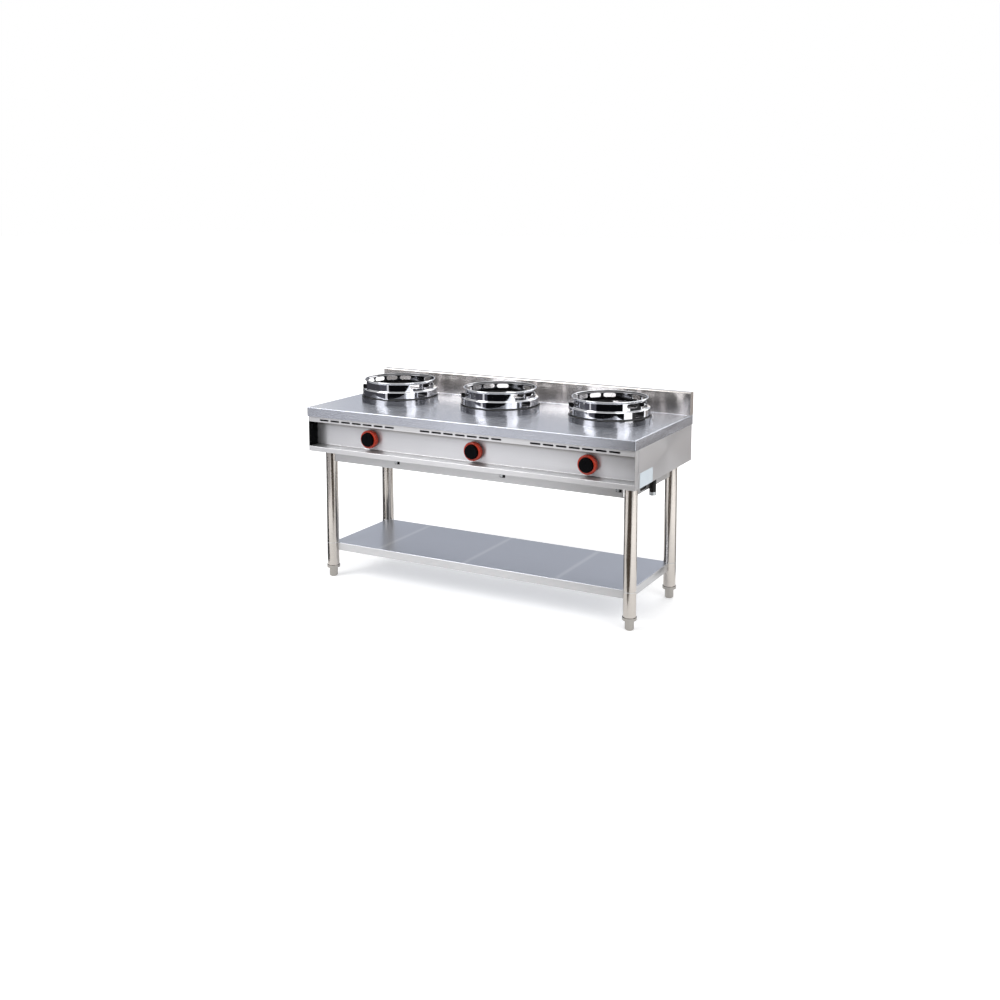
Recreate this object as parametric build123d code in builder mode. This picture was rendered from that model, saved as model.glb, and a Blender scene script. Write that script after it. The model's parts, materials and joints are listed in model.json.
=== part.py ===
from build123d import *
import os
from math import cos, sin, radians, sqrt

# Three-burner wok range on a tube stand.
# Millimetres. X runs along the front, -Y is the cook's side, +Z is up.
# The origin is on the floor under the middle of the worktop.

# ---------------------------------------------------------------- driving dimensions
# worktop and splashback
width = 1500.0            # along the front
depth = 620.0             # front edge to rear edge
worktop_h = 755.0         # floor to worktop surface
worktop_t = 1.5           # worktop sheet
lip_h = 39.0              # turned-down edge of the worktop
lip_bend = 4.0            # outer radius of that edge
splash_h = 95.0           # splashback above the worktop
splash_d = 35.0           # front to back of the splashback
cap_t = 1.2               # splashback end caps

# body under the worktop
sheet_t = 1.2             # body panels
bend_r = 2.5              # bend radius of folded sheet
body_h = 190.0            # underside of the body to the worktop surface
front_inset = 7.0         # fascia behind the worktop edge
side_gap = 0.3            # side panel to the inside of the worktop lip
recess_d = 60.0           # depth of the control recess
vent_band_h = 63.0        # worktop surface to the top of the recess
sill_h = 22.0             # underside of the body to the floor of the recess
flange_w = 20.0           # fixing flanges of the panels
cheek_t = 1.5             # end plates of the recess
cheek_strip = 33.0        # part of the end plate that stays in view

# vent slots over the recess
slot_len = 45.5
slot_h = 7.0
slot_pitch = 54.9
slot_count = 7
slot_up = 11.0            # top of the recess to the middle of the slots

# burners
burner_pitch = 500.0
burner_y = 30.0
hole_r = 146.0            # hole in the worktop
collar_r = 167.3
collar_h = 25.5
collar_web = 16.3         # width of the collar's top
collar_t = 1.5
bowl_top_r = 137.0
bowl_low_r = 104.0
bowl_bore_r = 80.0
bowl_h = 62.0
bowl_t = 1.0
bowl_rim_gap = 0.3

# wok rings
ring_t = 2.0
ring_low_r = 162.4
ring_mid_r = 147.0
ring_rim_r = 153.6
ring_foot_h = 5.0         # feet that lift the ring off its collar
ring_step_z = 57.0        # shoulder over the worktop
ring_flare_z = 88.0
ring_top_z = 95.0
rim_bead_r = 2.6
oval_len = 50.0           # flue slots of the upper band
oval_h = 17.0
oval_z = 78.0
oval_pitch = 24.0
oval_azimuths = [60 + oval_pitch * k for k in range(11) if k != 5]
window_len = 50.0         # flue windows of the lower band
window_h = 17.0
window_azimuths = [-50, 70, 190]
foot_azimuths = [10, 130, 250]
ring_foot_w = 24.0

# burner castings
head_r = 58.0
head_down = 13.0          # worktop surface to the top of the burner head
crown_h = 52.0            # crown of the burner head
neck_r = 29.95
neck_fit = 0.05
cup_wall = 6.0
cup_h = 52.0              # bracket to the top of the cup
seat_drop = 22.0          # middle of the venturi to the top of the bracket
head_ports = 24
port_w = 3.0
venturi_r = 17.0
venturi_bore_r = 13.0
mouth_gap = 8.0           # injector to the mouth of the venturi
mouth_r = 24.0
bracket_half = 95.0
bracket_depth = 60.0
bracket_t = 1.5
air_hole_r = 70.0

# gas train
knob_shift = 35.0         # knobs sit to the right of their burners
knob_up = 47.0            # floor of the recess to the middle of the knobs
pipe_r = 13.4
thread_r = 13.2           # male thread of the gas inlet
thread_wall = 3.3
manifold_back = 31.0      # control panel to the middle of the manifold
manifold_drop = 34.0      # middle of the knobs to the middle of the manifold
manifold_tail = 60.0      # manifold past the left burner
manifold_bend = 26.0
inlet_gap = 0.6           # side rail to the inlet pipe
inlet_y = -34.0
inlet_reach = 77.0        # inlet below the body
union_h = 14.0
tap_r = 16.0
tap_len = 45.8
tap_cavity_r = 10.0
tap_cavity_d = 14.0
tap_neck_r = 9.0
tube_r = 4.0
tube_bend = 8.0
injector_back = 36.0      # tap to the injector
injector_r = 8.0
injector_len = 12.0
pilot_plate_l = 38.0
pilot_plate_w = 16.0
pilot_plate_t = 2.0
pilot_drop = 12.0         # top of the cup to the pilot's plate
pilot_r = 3.5
igniter_r = 2.0
pilot_side = 4.0          # pilot tube to the middle of the plate
igniter_side = 4.5
pilot_gap = 7.5           # burner head to the pilot tube
pilot_up = 22.0           # pilot tube over the foot of the crown

# knobs and spindles
spindle_r = 4.0
run_fit = 0.05            # running fit of every shaft
knob_r = 38.5
knob_gap = 8.0            # panel to the rear of the knob
skirt_d = 19.0
cap_r = 28.5
cap_seat = 8.0            # depth of the cap's seat in the skirt
knob_reach = 38.0         # panel to the front of the knob
bezel_r = 30.0
bezel_d = 3.0
push_travel = 4.0
washer_r = 9.5
washer_d = 2.0
washer_set = 4.0          # barrel's front face to the washer
socket_d = 8.0            # depth of the spindle's tail in the tap
socket_spare = 1.0        # left behind the spindle when it is pushed home
shoulder_r = 6.0

# stand
leg_r = 25.4
leg_wall = 1.5
leg_inset_x = 55.0        # leg centres inside the worktop's ends
leg_inset_y = 97.0        # leg centres inside its front and rear
rail_h = 53.0
rail_t = 1.5
rail_flange = 30.0
front_rail_out = 12.0     # outer face in front of the leg centres
side_rail_out = 3.0
rail_gap = 0.3
tie_slot_l = 25.0
tie_slot_h = 15.0
tie_shift = 150.0
tie_drop = 25.0           # underside of the body to the tie slots
bolt_head_r = 6.5
bolt_head_h = 4.0
bolt_r = 4.0
bolt_len = 14.0
tie_plate_w = 36.0
side_slot_l = 62.0
side_slot_h = 20.0
side_slot_y = -98.0

# feet
insert_low_z = 39.0
insert_flange_h = 12.0
insert_flange_r = 28.5
insert_plug_h = 34.0
insert_fit = 0.1
foot_r = 18.0
foot_chamfer = 4.0
stem_r = 8.0
stem_top_gap = 8.0

# undershelf
shelf_top = 151.0
shelf_edge = 34.0
shelf_t = 1.2
shelf_bend = 3.0
stiffener_h = 22.0
stiffener_w = 80.0
stiffener_flange = 18.0

# ---------------------------------------------------------------- worked-out places
front_y = -depth / 2
rear_y = depth / 2
under_top = worktop_h - worktop_t
stand_h = worktop_h - body_h
recess_top = worktop_h - vent_band_h
recess_floor = stand_h + sill_h
slot_z = recess_top + slot_up
fascia_y = front_y + front_inset
panel_y = fascia_y + recess_d
side_x = width / 2 - worktop_t - side_gap
cheek_x = side_x - sheet_t
fascia_half = cheek_x - cheek_t
side_front_y = fascia_y + cheek_strip
body_rear_y = rear_y - worktop_t - front_inset + sheet_t
pan_half = side_x - flange_w - rail_gap
splash_y = rear_y - splash_d
burners = {"left": -burner_pitch, "centre": 0.0, "right": burner_pitch}
collar_top = worktop_h + collar_h
collar_in_r = collar_r - collar_web
leg_x = width / 2 - leg_inset_x
leg_y = depth / 2 - leg_inset_y
leg_low_z = insert_low_z + insert_flange_h
tie_z = stand_h - tie_drop
knob_z = recess_floor + knob_up
knob_back_y = panel_y - knob_gap
tap_front_y = panel_y + sheet_t
tap_back_y = tap_front_y + tap_len
manifold_y = panel_y + manifold_back
manifold_z = knob_z - manifold_drop
inlet_x = leg_x + side_rail_out + inlet_gap + pipe_r
inlet_low_z = stand_h - inlet_reach
injector_y = tap_back_y + injector_back
mouth_y = injector_y + injector_len + mouth_gap
seat_z = knob_z - seat_drop
cup_r = neck_r + neck_fit + cup_wall
cup_top_z = seat_z + cup_h
head_top_z = worktop_h - head_down
head_low_z = head_top_z - crown_h

os.makedirs("parts", exist_ok=True)


def save(piece, name):
    """Label a finished piece and write it."""
    piece.part.label = name
    export_step(piece.part, f"parts/{name}.step")


def fold(points, thickness, side=Side.LEFT, radius=bend_r):
    """Closed outline of a sheet bent along a line of points."""
    with BuildLine() as outline:
        FilletPolyline(*points, radius=radius)
        offset(amount=thickness, side=side)
    return outline.edges()


def heading(azimuth):
    """Level direction at an azimuth from the front, turning to the right."""
    return Vector(sin(radians(azimuth)), -cos(radians(azimuth)), 0)


def outward(x, y, z, azimuth):
    """Upright plane on a burner's axis that faces an azimuth."""
    out = heading(azimuth)
    return Plane(origin=(x, y, z), x_dir=(-out.Y, out.X, 0), z_dir=out)


# ---------------------------------------------------------------- worktop
with BuildPart() as worktop:
    with BuildSketch(Plane.XY.offset(worktop_h - lip_h)):
        Rectangle(width, depth)
        fillet(vertices(), lip_bend)
    extrude(amount=lip_h)
    fillet(worktop.faces().sort_by(Axis.Z)[-1].edges(), lip_bend - 1)
    offset(amount=-worktop_t, openings=worktop.faces().sort_by(Axis.Z)[0])
    with BuildSketch(Plane.XY.offset(worktop_h)):
        with Locations(*[(x, burner_y) for x in burners.values()]):
            Circle(hole_r)
    extrude(amount=-2 * worktop_t, mode=Mode.SUBTRACT)
save(worktop, "worktop")

# ---------------------------------------------------------------- splashback
with BuildPart() as splashback:
    with BuildSketch(Plane.YZ.offset(cap_t - width / 2)):
        top = worktop_h + splash_h
        points = [
            (splash_y, worktop_h), (splash_y, top), (rear_y, top), (rear_y, worktop_h),
        ]
        make_face(fold(points, sheet_t, Side.RIGHT, 2 * bend_r))
    extrude(amount=width - 2 * cap_t)
save(splashback, "splashback")

with BuildPart() as splash_end_caps:
    for x in (-width / 2, width / 2 - cap_t):
        with BuildSketch(Plane.YZ.offset(x)) as cap_outline:
            with Locations((rear_y - splash_d / 2, worktop_h + splash_h / 2)):
                Rectangle(splash_d, splash_h)
            fillet(cap_outline.vertices().group_by(Axis.Z)[-1], 2 * bend_r)
        extrude(amount=cap_t)
save(splash_end_caps, "splash_end_caps")


# ---------------------------------------------------------------- collars and drip bowls
def make_collar(x):
    """Raised collar: an inverted channel spun round the burner's axis."""
    with BuildPart() as collar:
        with BuildSketch(Plane.XZ.offset(-burner_y)):
            points = [
                (x + collar_r, worktop_h), (x + collar_r, collar_top),
                (x + collar_in_r, collar_top), (x + collar_in_r, worktop_h),
            ]
            make_face(fold(points, collar_t))
        revolve(axis=Axis((x, burner_y, 0), (0, 0, 1)))
    return collar


def make_bowl(x):
    """Drip bowl: its rim lies on the worktop inside the collar."""
    rim_r = collar_in_r - bowl_rim_gap
    top = worktop_h + bowl_t
    low = top - bowl_h
    with BuildPart() as bowl:
        with BuildSketch(Plane.XZ.offset(-burner_y)):
            points = [
                (x + rim_r, top), (x + bowl_top_r, top), (x + bowl_low_r, low),
                (x + bowl_bore_r, low),
            ]
            make_face(fold(points, bowl_t))
        revolve(axis=Axis((x, burner_y, 0), (0, 0, 1)))
    return bowl


for side, x in burners.items():
    save(make_collar(x), f"collar_{side}")
    save(make_bowl(x), f"drip_bowl_{side}")


# ---------------------------------------------------------------- wok rings
def make_wok_ring(x):
    """Lift-off ring: two bands with a shoulder between them and a rolled rim."""
    foot_z = collar_top
    low = collar_top + ring_foot_h
    step = worktop_h + ring_step_z
    flare = worktop_h + ring_flare_z
    top = worktop_h + ring_top_z
    rim_r = ring_rim_r - rim_bead_r
    with BuildPart() as ring:
        with BuildSketch(Plane.XZ.offset(-burner_y)):
            points = [
                (x + ring_low_r, low), (x + ring_low_r, step), (x + ring_mid_r, step),
                (x + ring_mid_r, flare), (x + rim_r, top),
            ]
            make_face(fold(points, ring_t))
            with Locations((x + rim_r, top)):
                Circle(rim_bead_r)
        revolve(axis=Axis((x, burner_y, 0), (0, 0, 1)))
        for azimuth in oval_azimuths:
            with BuildSketch(outward(x, burner_y, worktop_h + oval_z, azimuth)):
                SlotOverall(oval_len, oval_h)
            extrude(amount=ring_rim_r, mode=Mode.SUBTRACT)
        for azimuth in window_azimuths:
            middle = (low + step - ring_t) / 2
            with BuildSketch(outward(x, burner_y, middle, azimuth)):
                RectangleRounded(window_len, window_h, bend_r)
            extrude(amount=ring_low_r + ring_t, mode=Mode.SUBTRACT)
        for azimuth in foot_azimuths:
            flat = outward(x, burner_y, foot_z + ring_foot_h, azimuth)
            reach = sqrt((ring_low_r - ring_t) ** 2 - (ring_foot_w / 2) ** 2)
            with BuildSketch(Plane(flat.origin + flat.z_dir * (reach - ring_t),
                                   x_dir=flat.x_dir, z_dir=flat.z_dir)):
                Rectangle(ring_foot_w, 2 * ring_foot_h)
            extrude(amount=2 * ring_t)
    return ring


for side, x in burners.items():
    save(make_wok_ring(x), f"wok_ring_{side}")


# ---------------------------------------------------------------- burners
def make_head(x):
    """Cast burner head: neck, flared cup and a crown with slotted ports."""
    low, top = head_low_z, head_top_z
    with BuildPart() as head:
        with BuildSketch(Plane.XZ.offset(-burner_y)):
            with BuildLine():
                Polyline((x, cup_top_z - 20), (x + neck_r, cup_top_z - 20),
                         (x + neck_r, cup_top_z), (x + cup_r, cup_top_z))
                Spline((x + cup_r, cup_top_z), (x + head_r * 0.8, low - 6), (x + head_r, low + 8))
                Polyline((x + head_r, low + 8), (x + head_r, top - 16), (x + head_r - 14, top),
                         (x + head_r - 26, top), (x + head_r - 32, top - 14),
                         (x + 16, top - 14), (x + 10, top - 4), (x, top - 4),
                         (x, cup_top_z - 20))
            make_face()
        revolve(axis=Axis((x, burner_y, 0), (0, 0, 1)))
        with BuildSketch(Plane.XY.offset(top)):
            with Locations((x, burner_y)):
                with PolarLocations(head_r, head_ports):
                    Rectangle(34, port_w)
        extrude(amount=-10, mode=Mode.SUBTRACT)
    return head


def make_base(x):
    """Burner base: cup for the head with the venturi tube cast on."""
    with BuildPart() as base:
        with BuildSketch(Plane.XZ.offset(-burner_y)):
            with BuildLine():
                Polyline((x, seat_z), (x + cup_r + 10, seat_z), (x + cup_r + 10, seat_z + 4),
                         (x + cup_r, seat_z + 8), (x + cup_r, cup_top_z), (x, cup_top_z),
                         close=True)
            make_face()
        revolve(axis=Axis((x, burner_y, 0), (0, 0, 1)))
        with BuildSketch(Plane.YZ.offset(x)):
            with BuildLine():
                Polyline((burner_y, knob_z), (mouth_y, knob_z), (mouth_y, knob_z + mouth_r),
                         (mouth_y + 4, knob_z + mouth_r))
                ThreePointArc((mouth_y + 4, knob_z + mouth_r),
                              (mouth_y + 11, knob_z + venturi_r + 2),
                              (mouth_y + 22, knob_z + venturi_r))
                Polyline((mouth_y + 22, knob_z + venturi_r), (burner_y, knob_z + venturi_r),
                         (burner_y, knob_z))
            make_face()
        revolve(axis=Axis((x, 0, knob_z), (0, 1, 0)))
        with BuildSketch(Plane.XZ.offset(-mouth_y)):
            with Locations((x, knob_z)):
                Circle(venturi_bore_r)
        extrude(amount=mouth_y - burner_y, mode=Mode.SUBTRACT)
        with BuildSketch(Plane.XY.offset(cup_top_z)):
            with Locations((x, burner_y)):
                Circle(neck_r + neck_fit)
        extrude(amount=seat_z + 8 - cup_top_z, mode=Mode.SUBTRACT)
    return base


def make_bracket(x):
    """Hat-shaped bracket that carries the burner base on the pan."""
    foot = stand_h + sheet_t + bracket_t
    run = bracket_half + 17
    with BuildPart() as bracket:
        with BuildSketch(Plane.XZ.offset(-burner_y - bracket_depth / 2)):
            points = [
                (x - run, foot), (x - bracket_half, foot), (x - bracket_half, seat_z),
                (x + bracket_half, seat_z), (x + bracket_half, foot), (x + run, foot),
            ]
            make_face(fold(points, bracket_t, Side.RIGHT))
        extrude(amount=bracket_depth)
    return bracket


for side, x in burners.items():
    save(make_head(x), f"burner_head_{side}")
    save(make_base(x), f"burner_base_{side}")

with BuildPart() as burner_brackets:
    for x in burners.values():
        add(make_bracket(x).part)
save(burner_brackets, "burner_brackets")

with BuildPart() as pilot_burners:
    for x in burners.values():
        tube_x = x + head_r + pilot_gap + pilot_r
        with BuildSketch(Plane.XY.offset(cup_top_z - pilot_drop)):
            with Locations((x + cup_r + rail_gap + pilot_plate_l / 2, burner_y)):
                RectangleRounded(pilot_plate_l, pilot_plate_w, 3)
        extrude(amount=pilot_plate_t)
        with BuildSketch(Plane.XY.offset(cup_top_z - pilot_drop)):
            with Locations((tube_x, burner_y - pilot_side)):
                Circle(pilot_r)
            with Locations((tube_x, burner_y + igniter_side)):
                Circle(igniter_r)
        extrude(amount=head_low_z + pilot_up - cup_top_z + pilot_drop)
save(pilot_burners, "pilot_burners")

# ---------------------------------------------------------------- body panels
with BuildPart() as front_fascia:
    with BuildSketch(Plane.YZ.offset(-fascia_half)):
        points = [
            (fascia_y + flange_w, under_top), (fascia_y, under_top), (fascia_y, recess_top),
            (panel_y, recess_top), (panel_y, recess_floor), (fascia_y, recess_floor),
            (fascia_y, stand_h), (fascia_y + flange_w, stand_h),
        ]
        make_face(fold(points, sheet_t))
    extrude(amount=2 * fascia_half)
    with BuildSketch(Plane.XZ.offset(-fascia_y + 1)):
        for x in burners.values():
            with Locations((x, slot_z)):
                with GridLocations(slot_pitch, 1, slot_count, 1):
                    SlotOverall(slot_len, slot_h)
    extrude(amount=-sheet_t - 2, mode=Mode.SUBTRACT)
    with BuildSketch(Plane.XZ.offset(-panel_y + 1)):
        with Locations(*[(x + knob_shift, knob_z) for x in burners.values()]):
            Circle(shoulder_r + 4)
    extrude(amount=-sheet_t - 2, mode=Mode.SUBTRACT)
save(front_fascia, "front_fascia")


def make_cheek(hand):
    """End plate of the control recess, tucked inside the side panel."""
    x = cheek_x - cheek_t if hand > 0 else -cheek_x
    low, high = stand_h, worktop_h - worktop_t
    inner_y = panel_y + 4
    with BuildPart() as cheek:
        with BuildSketch(Plane.YZ.offset(x)):
            with BuildLine():
                Polyline((fascia_y, low), (side_front_y - rail_gap, low),
                         (side_front_y - rail_gap, low + 5), (inner_y, low + 5),
                         (inner_y, high - 5), (side_front_y - rail_gap, high - 5),
                         (side_front_y - rail_gap, high), (fascia_y, high), close=True)
            make_face()
        extrude(amount=cheek_t)
    return cheek


with BuildPart() as end_cheeks:
    for hand in (-1, 1):
        add(make_cheek(hand).part)
save(end_cheeks, "end_cheeks")

with BuildPart() as side_panel_right:
    with BuildSketch(Plane.XZ.offset(-side_front_y)):
        points = [
            (side_x - flange_w, stand_h), (side_x, stand_h), (side_x, under_top),
            (side_x - flange_w, under_top),
        ]
        make_face(fold(points, sheet_t))
    extrude(amount=side_front_y - body_rear_y + sheet_t)
save(side_panel_right, "side_panel_right")

with BuildPart() as side_panel_left:
    add(mirror(side_panel_right.part, about=Plane.YZ, mode=Mode.PRIVATE))
save(side_panel_left, "side_panel_left")

with BuildPart() as back_panel:
    with BuildSketch(Plane.XZ.offset(-body_rear_y + sheet_t)):
        with Locations((0, (stand_h + under_top) / 2)):
            Rectangle(2 * cheek_x, under_top - stand_h)
        for x in burners.values():
            with Locations((x, (stand_h + under_top) / 2)):
                with GridLocations(slot_pitch, 22, slot_count, 3):
                    SlotOverall(slot_len, slot_h, mode=Mode.SUBTRACT)
    extrude(amount=-sheet_t)
save(back_panel, "back_panel")

with BuildPart() as base_pan:
    with BuildSketch(Plane.XZ.offset(-fascia_y - flange_w - rail_gap)):
        points = [
            (-pan_half, stand_h + 15), (-pan_half, stand_h), (pan_half, stand_h),
            (pan_half, stand_h + 15),
        ]
        make_face(fold(points, sheet_t))
    extrude(amount=fascia_y + flange_w + rail_gap - body_rear_y + sheet_t)
    with BuildSketch(Plane.XY.offset(stand_h)):
        with Locations(*[(x, burner_y) for x in burners.values()]):
            Circle(air_hole_r)
        with Locations((inlet_x, inlet_y)):
            Circle(pipe_r + rail_gap)
    extrude(amount=sheet_t + 1, mode=Mode.SUBTRACT)
save(base_pan, "base_pan")

# ---------------------------------------------------------------- gas train
with BuildPart() as gas_manifold:
    with BuildLine() as manifold_route:
        FilletPolyline((-burner_pitch - manifold_tail, manifold_y, manifold_z),
                       (inlet_x, manifold_y, manifold_z),
                       (inlet_x, inlet_y, manifold_z),
                       (inlet_x, inlet_y, inlet_low_z + union_h), radius=manifold_bend)
    with BuildSketch(manifold_route.line ^ 0):
        Circle(pipe_r)
    sweep()
save(gas_manifold, "gas_manifold")

with BuildPart() as inlet_union:
    with BuildSketch(Plane.XY.offset(inlet_low_z)):
        with Locations((inlet_x, inlet_y)):
            Circle(thread_r)
            Circle(thread_r - thread_wall, mode=Mode.SUBTRACT)
    extrude(amount=union_h)
save(inlet_union, "inlet_union")


def make_tap(x):
    """Gas tap: brass barrel behind the panel, standing on the manifold."""
    kx = x + knob_shift
    neck_z = manifold_z + pipe_r + 0.1
    with BuildPart() as tap:
        with BuildSketch(Plane.XZ.offset(-tap_front_y)):
            with Locations((kx, knob_z)):
                Circle(tap_r)
        extrude(amount=tap_front_y - tap_back_y)
        chamfer(tap.edges().sort_by(Axis.Y)[-1], 2)
        with BuildSketch(Plane.XY.offset(neck_z)):
            with Locations((kx, manifold_y)):
                Circle(tap_neck_r)
        extrude(amount=knob_z - neck_z)
        with BuildSketch(Plane.XZ.offset(-tap_front_y)):
            with Locations((kx, knob_z)):
                Circle(tap_cavity_r)
        extrude(amount=-tap_cavity_d, mode=Mode.SUBTRACT)
        with BuildSketch(Plane.XZ.offset(-tap_front_y)):
            with Locations((kx, knob_z)):
                Circle(spindle_r + run_fit)
        extrude(amount=-tap_cavity_d - socket_d - push_travel - socket_spare,
                mode=Mode.SUBTRACT)
    return tap


def make_washer(x):
    """Thrust washer on the tap spring; it slides with the spindle and never turns."""
    y = tap_front_y + washer_set
    with BuildPart() as washer:
        with BuildSketch(Plane.XZ.offset(-y)):
            with Locations((x + knob_shift, knob_z)):
                Circle(washer_r)
                Circle(spindle_r + run_fit, mode=Mode.SUBTRACT)
        extrude(amount=-washer_d)
    return washer


def make_spindle(x):
    """Tap spindle with the shoulder that bears on the washer."""
    kx = x + knob_shift
    washer_y = tap_front_y + washer_set
    tip_y = knob_back_y - skirt_d + cap_seat
    with BuildPart() as spindle:
        with BuildSketch(Plane.XZ.offset(-tip_y)):
            with Locations((kx, knob_z)):
                Circle(spindle_r)
        extrude(amount=tip_y - tap_front_y - tap_cavity_d - socket_d)
        with BuildSketch(Plane.XZ.offset(-washer_y + 3)):
            with Locations((kx, knob_z)):
                Circle(shoulder_r)
        extrude(amount=-3)
    return spindle


def make_skirt(x):
    """Red skirt of the knob: a deep ring with a rounded front edge."""
    kx = x + knob_shift
    back, front = knob_back_y, knob_back_y - skirt_d
    with BuildPart() as skirt:
        with BuildSketch(Plane.YZ.offset(kx)):
            with BuildLine():
                Polyline((back, knob_z + spindle_r), (back, knob_z + knob_r),
                         (front + 4, knob_z + knob_r))
                ThreePointArc((front + 4, knob_z + knob_r),
                              (front + 1.2, knob_z + knob_r - 1.2),
                              (front, knob_z + knob_r - 4))
                Polyline((front, knob_z + knob_r - 4), (front, knob_z + cap_r + 2),
                         (front + 4, knob_z + cap_r), (front + cap_seat, knob_z + cap_r),
                         (front + cap_seat, knob_z + spindle_r), (back, knob_z + spindle_r))
            make_face()
        revolve(axis=Axis((kx, 0, knob_z), (0, 1, 0)))
    return skirt


def make_cap(x):
    """Black cap of the knob, seated in the skirt."""
    kx = x + knob_shift
    seat, front = knob_back_y - skirt_d + cap_seat, panel_y - knob_reach
    with BuildPart() as cap:
        with BuildSketch(Plane.XZ.offset(-seat)):
            with Locations((kx, knob_z)):
                Circle(cap_r - run_fit)
        extrude(amount=seat - front)
        fillet(cap.edges().sort_by(Axis.Y)[0], 2.5)
        with BuildSketch(Plane.XZ.offset(-front)):
            with Locations((kx, knob_z + cap_r / 2)):
                SlotOverall(cap_r - 8, 3, rotation=90)
        extrude(amount=-1.5, mode=Mode.SUBTRACT)
    return cap


with BuildPart() as gas_taps:
    for x in burners.values():
        add(make_tap(x).part)
save(gas_taps, "gas_taps")

for side, x in burners.items():
    save(make_washer(x), f"thrust_washer_{side}")
    save(make_spindle(x), f"tap_spindle_{side}")
    save(make_skirt(x), f"knob_skirt_{side}")
    save(make_cap(x), f"knob_cap_{side}")

with BuildPart() as knob_bezels:
    with BuildSketch(Plane.XZ.offset(-panel_y)):
        for x in burners.values():
            with Locations((x + knob_shift, knob_z)):
                Circle(bezel_r)
                Circle(shoulder_r + 4, mode=Mode.SUBTRACT)
    extrude(amount=bezel_d)
save(knob_bezels, "knob_bezels")

with BuildPart() as feed_tubes:
    for x in burners.values():
        kx = x + knob_shift
        elbow_y = (tap_back_y + injector_y) / 2
        with BuildLine() as feed_route:
            FilletPolyline((kx, tap_back_y, knob_z), (kx, elbow_y, knob_z),
                           (x, elbow_y, knob_z), (x, injector_y, knob_z), radius=tube_bend)
        with BuildSketch(feed_route.line ^ 0):
            Circle(tube_r)
        sweep(path=feed_route.line)
save(feed_tubes, "feed_tubes")

with BuildPart() as injectors:
    for x in burners.values():
        with BuildSketch(Plane.XZ.offset(-injector_y)):
            with Locations((x, knob_z)):
                RegularPolygon(injector_r, 6)
        extrude(amount=-injector_len)
        with BuildSketch(Plane.XZ.offset(-injector_y - injector_len)):
            with Locations((x, knob_z)):
                Circle(tube_r)
        extrude(amount=-mouth_gap - 6, taper=8)
save(injectors, "injectors")

# ---------------------------------------------------------------- stand
rail_end_x = leg_x - leg_r - rail_gap
rail_end_y = leg_y - leg_r - rail_gap


def rail_section(face, sign):
    """Channel with a wide top flange; face is its outer side."""
    low = stand_h - rail_h
    points = [(face - sign * rail_flange, stand_h), (face, stand_h), (face, low),
              (face - sign * rail_flange / 2, low)]
    return fold(points, rail_t, Side.RIGHT if sign > 0 else Side.LEFT)


with BuildPart() as front_rail:
    with BuildSketch(Plane.YZ.offset(-rail_end_x)):
        make_face(rail_section(-leg_y - front_rail_out, -1))
    extrude(amount=2 * rail_end_x)
    with BuildSketch(Plane.XZ.offset(leg_y + front_rail_out + 1)):
        with Locations(*[(x + tie_shift, tie_z) for x in burners.values()]):
            RectangleRounded(tie_slot_l, tie_slot_h, 2)
    extrude(amount=-rail_t - 2, mode=Mode.SUBTRACT)
save(front_rail, "front_rail")

with BuildPart() as rear_rail:
    with BuildSketch(Plane.YZ.offset(-rail_end_x)):
        make_face(rail_section(leg_y + front_rail_out, 1))
    extrude(amount=2 * rail_end_x)
save(rear_rail, "rear_rail")

with BuildPart() as side_rails:
    with BuildSketch(Plane.XZ.offset(-rail_end_y)):
        make_face(rail_section(leg_x + side_rail_out, 1))
    extrude(amount=2 * rail_end_y)
    with BuildSketch(Plane.YZ.offset(leg_x + side_rail_out + 1)):
        with Locations((side_slot_y, stand_h - rail_h / 2 - 8)):
            SlotOverall(side_slot_l, side_slot_h)
    extrude(amount=-rail_t - 2, mode=Mode.SUBTRACT)
    mirror(about=Plane.YZ)
save(side_rails, "side_rails")

with BuildPart() as tie_plates:
    web_y = -leg_y - front_rail_out + rail_t
    plate_h = rail_h - 2 * (rail_t + bend_r)
    with BuildSketch(Plane.XZ.offset(-web_y)):
        with Locations(*[(x + tie_shift, stand_h - rail_h / 2) for x in burners.values()]):
            Rectangle(tie_plate_w, plate_h)
        with Locations(*[(x + tie_shift - 4, tie_z) for x in burners.values()]):
            Circle(bolt_r + insert_fit, mode=Mode.SUBTRACT)
    extrude(amount=-2)
save(tie_plates, "tie_plates")

with BuildPart() as tie_bolts:
    with BuildSketch(Plane.XZ.offset(-web_y)):
        with Locations(*[(x + tie_shift - 4, tie_z) for x in burners.values()]):
            RegularPolygon(bolt_head_r, 6)
    extrude(amount=bolt_head_h)
    with BuildSketch(Plane.XZ.offset(-web_y)):
        with Locations(*[(x + tie_shift - 4, tie_z) for x in burners.values()]):
            Circle(bolt_r)
    extrude(amount=-bolt_len)
save(tie_bolts, "tie_bolts")

corners = {"front_left": (-leg_x, -leg_y), "front_right": (leg_x, -leg_y),
           "rear_left": (-leg_x, leg_y), "rear_right": (leg_x, leg_y)}

for name, place in corners.items():
    with BuildPart() as leg:
        with BuildSketch(Plane.XY.offset(leg_low_z)):
            with Locations(place):
                Circle(leg_r)
                Circle(leg_r - leg_wall, mode=Mode.SUBTRACT)
        extrude(amount=stand_h - leg_low_z)
    save(leg, f"leg_{name}")

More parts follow.
